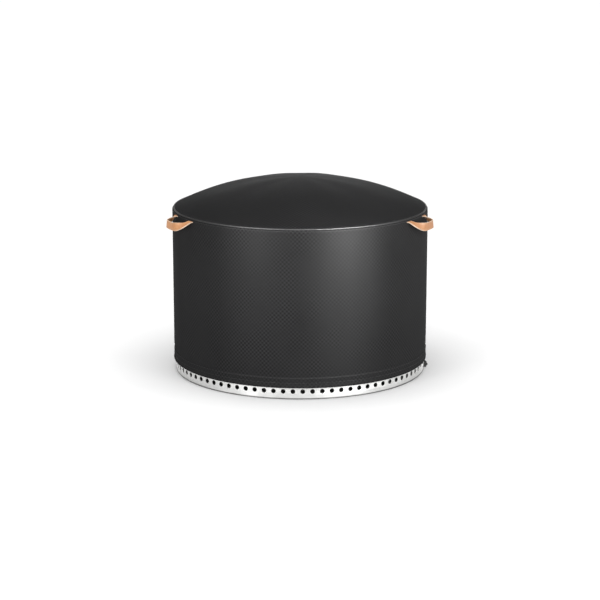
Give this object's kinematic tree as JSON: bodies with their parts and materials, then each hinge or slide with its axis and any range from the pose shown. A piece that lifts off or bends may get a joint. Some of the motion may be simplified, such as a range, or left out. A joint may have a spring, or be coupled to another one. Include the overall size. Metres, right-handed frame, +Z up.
{
  "type": "fire pit cover",
  "caption": "Round domed fabric cover with two leather side handles and a drawcord hem, seated over a double-walled steel fire pit with a vented base ring.",
  "frame": {"origin": "on the ground under the centre of the pit and its cover", "axes": "+Z up; +X to the right and through the middle between the handle sides; -Y is the front, towards which both handles sit"},
  "size_m": [0.7184, 0.6978, 0.531],
  "materials": {
    "cover_fabric": "coated woven oxford cloth, satin",
    "trim_fabric": "bias binding and webbing",
    "cord": "braided",
    "leather": "natural tan, pale edges",
    "black_plastic": "moulded",
    "stay_rod": "glass fibre rod",
    "spring_steel": "drawn wire",
    "pit_steel": "brushed",
    "grate_steel": "heat-dulled"
  },
  "bodies": {
    "pit": {"outer_wall": "pit_steel", "base_plate": "pit_steel", "inner_wall": "pit_steel", "wall_brackets": "pit_steel", "flame_ring": "pit_steel", "grate_shelf": "pit_steel"},
    "cover": {"crown_panel": "cover_fabric", "front_wall_panel": "cover_fabric", "rear_wall_panel": "cover_fabric", "left_seam_binding": "trim_fabric", "right_seam_binding": "trim_fabric", "shoulder_piping": "trim_fabric", "rim_hoop": "spring_steel", "hem_band": "cover_fabric", "drawcord": "cord", "drawcord_tail_inner": "cord", "drawcord_tail_outer": "cord", "drawcord_knot": "cord", "cord_exit_grommet": "black_plastic", "left_handle_tabs": "leather", "right_handle_tabs": "leather", "left_handle_backing": "trim_fabric", "right_handle_backing": "trim_fabric", "dome_stays": "stay_rod", "stay_hub": "black_plastic", "stay_pockets": "trim_fabric"},
    "left_handle": {"left_handle_strap": "leather"},
    "right_handle": {"right_handle_strap": "leather"},
    "cord_lock": {"cord_lock_body": "black_plastic", "cord_lock_spring": "spring_steel"},
    "cord_lock_plunger": {"cord_lock_plunger": "black_plastic"},
    "grate": {"fire_grate": "grate_steel"},
    "ash_pan": {"ash_pan": "pit_steel"}
  },
  "joints": [
    {"name": "cover_lift", "type": "slide", "parent": "pit", "child": "cover", "axis": [0, 0, 1], "range_m": [0, 0.46]},
    {"name": "left_handle_swing", "type": "hinge", "parent": "cover", "child": "left_handle", "pos_m": [-0.31108, -0.1551, 0.442], "axis": [-0.4462, 0.8949, 0], "range_deg": [-40, 90]},
    {"name": "right_handle_swing", "type": "hinge", "parent": "cover", "child": "right_handle", "pos_m": [0.31108, -0.1551, 0.442], "axis": [-0.4462, -0.8949, 0], "range_deg": [-40, 90]},
    {"name": "cord_lock_slide", "type": "slide", "parent": "cover", "child": "cord_lock", "axis": [0.829, 0.5592, 0], "range_m": [0, 0.009]},
    {"name": "cord_lock_press", "type": "slide", "parent": "cord_lock", "child": "cord_lock_plunger", "axis": [0, 0, -1], "range_m": [0, 0.0038], "stiffness_N_per_m": 400, "springref_m": -0.004, "deforming": ["cord_lock_spring"]},
    {"name": "grate_lift", "type": "slide", "parent": "pit", "child": "grate", "axis": [0, 0, 1], "range_m": [0, 0.36]},
    {"name": "ash_pan_lift", "type": "slide", "parent": "pit", "child": "ash_pan", "axis": [0, 0, 1], "range_m": [0, 0.27]}
  ],
  "couplings": [
    {"joint": "ash_pan_lift", "follows": "grate_lift", "ratio": 0.75}
  ]
}
